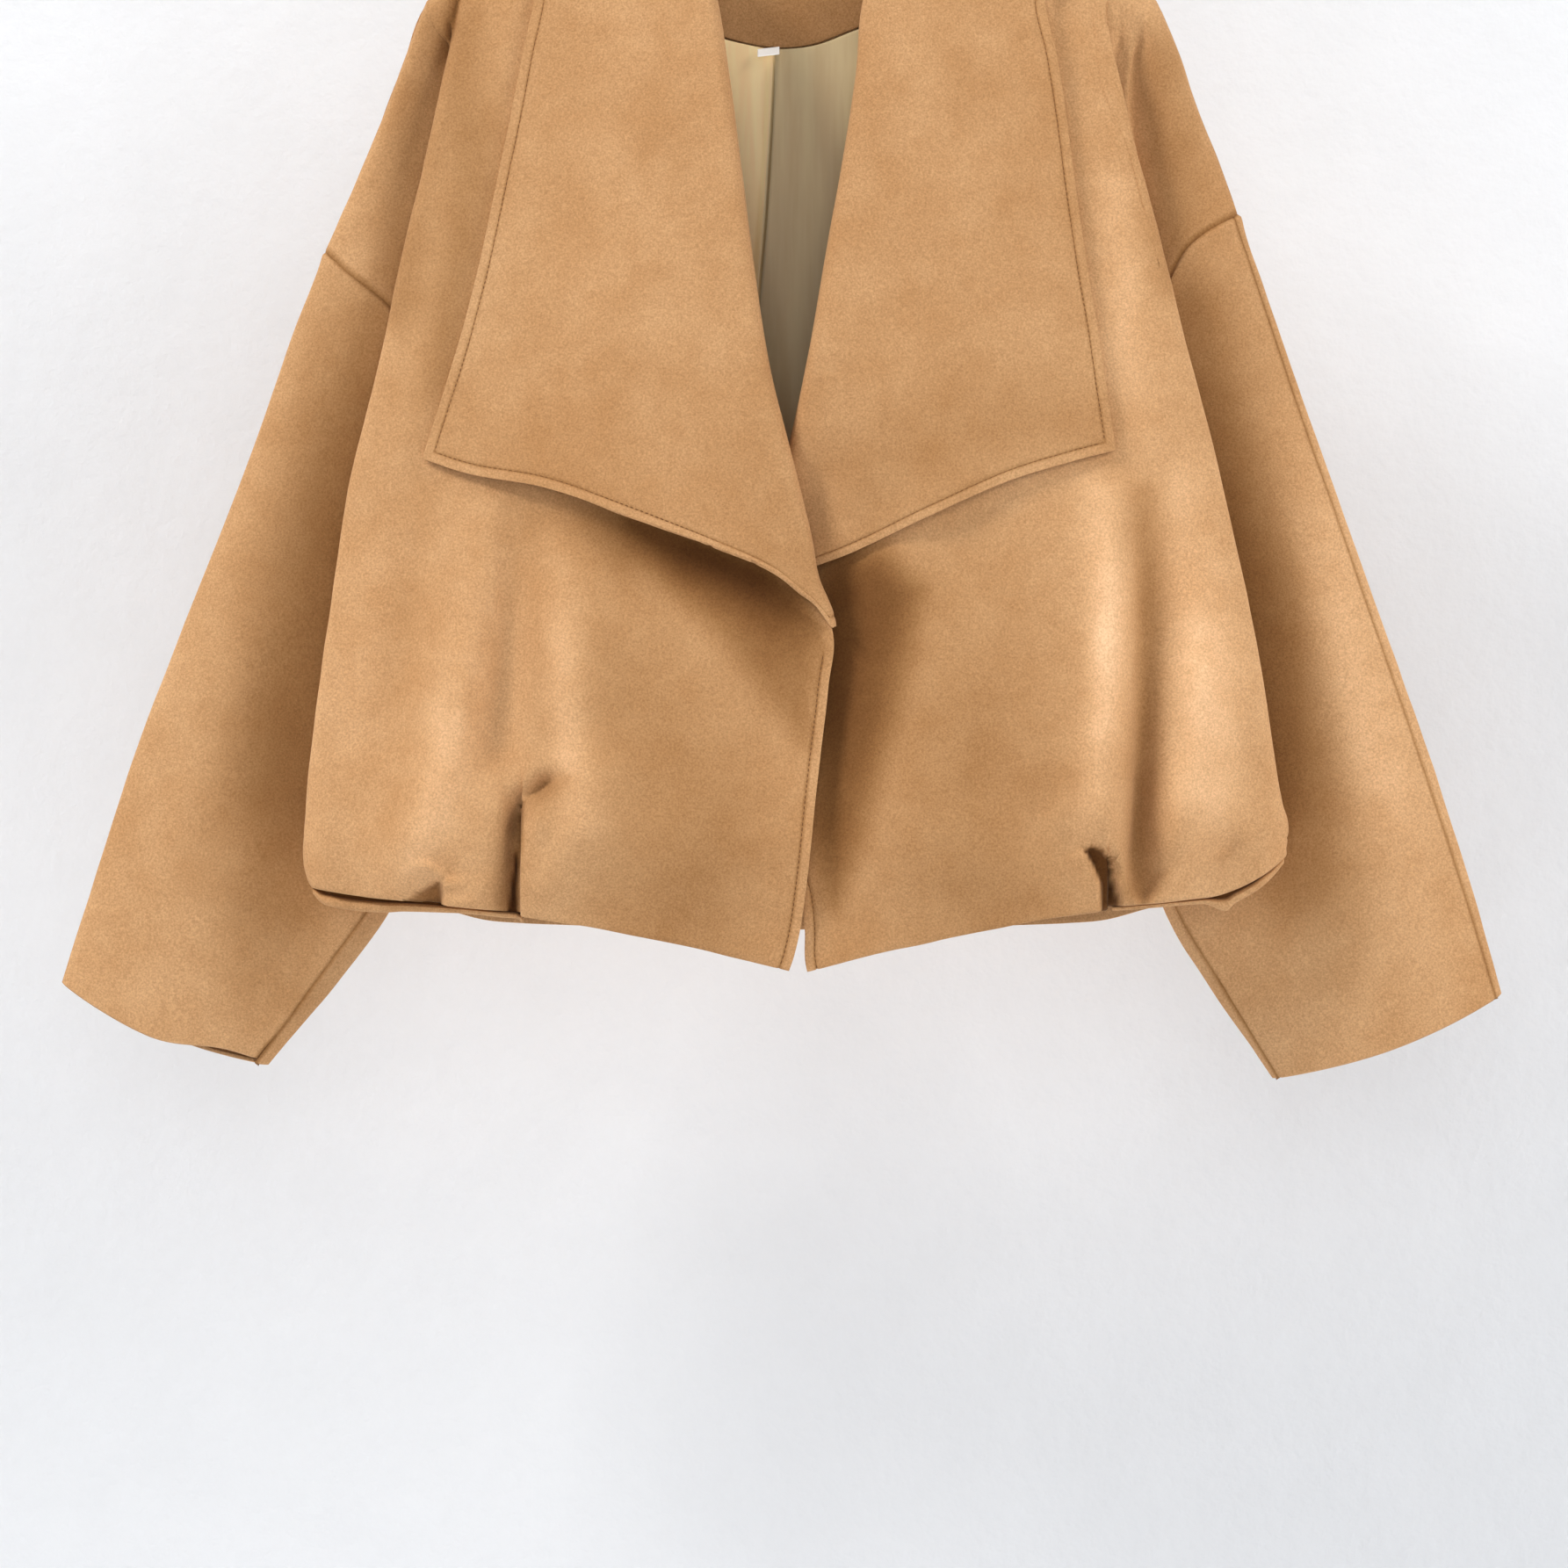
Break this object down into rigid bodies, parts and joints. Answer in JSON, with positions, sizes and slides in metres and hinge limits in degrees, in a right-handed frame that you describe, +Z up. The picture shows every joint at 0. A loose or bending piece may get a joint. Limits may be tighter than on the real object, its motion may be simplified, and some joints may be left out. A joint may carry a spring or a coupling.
{
  "type": "wrap coat",
  "caption": "Short faux suede wrap coat with a broad shawl collar, wide dropped sleeves and a tucked bubble hem, hanging open-necked on a plain wooden hanger.",
  "frame": {"origin": "inside top of the hanger's hook, where it rests on a rail or peg", "axes": "+Z up, +X to the viewer's right of the coat's front, +Y from the front of the coat towards the wall behind it"},
  "size_m": [0.8941, 0.1162, 0.8029],
  "materials": {
    "suede": "matt napped faux suede, warm tan",
    "satin": "smooth satin lining, bronze",
    "label": "plain woven, blank",
    "wood": "clear satin varnish",
    "steel": "bright plated wire"
  },
  "bodies": {
    "root": {"front_left": "suede", "front_right": "suede", "back": "suede", "back_left": "suede", "back_right": "suede", "sleeve_front_left": "suede", "sleeve_front_right": "suede", "sleeve_back_left": "suede", "sleeve_back_right": "suede", "forearm_front_left": "suede", "forearm_front_right": "suede", "forearm_back_left": "suede", "forearm_back_right": "suede", "lapel_left": "suede", "lapel_right": "suede", "neck_facing": "suede", "hem_band_left": "suede", "hem_band_right": "suede", "hem_band_back": "suede", "hem_band_back_left": "suede", "hem_band_back_right": "suede", "lining": "satin", "label": "label", "hanger_arms": "wood", "hanger_hook": "steel"}
  },
  "joints": []
}
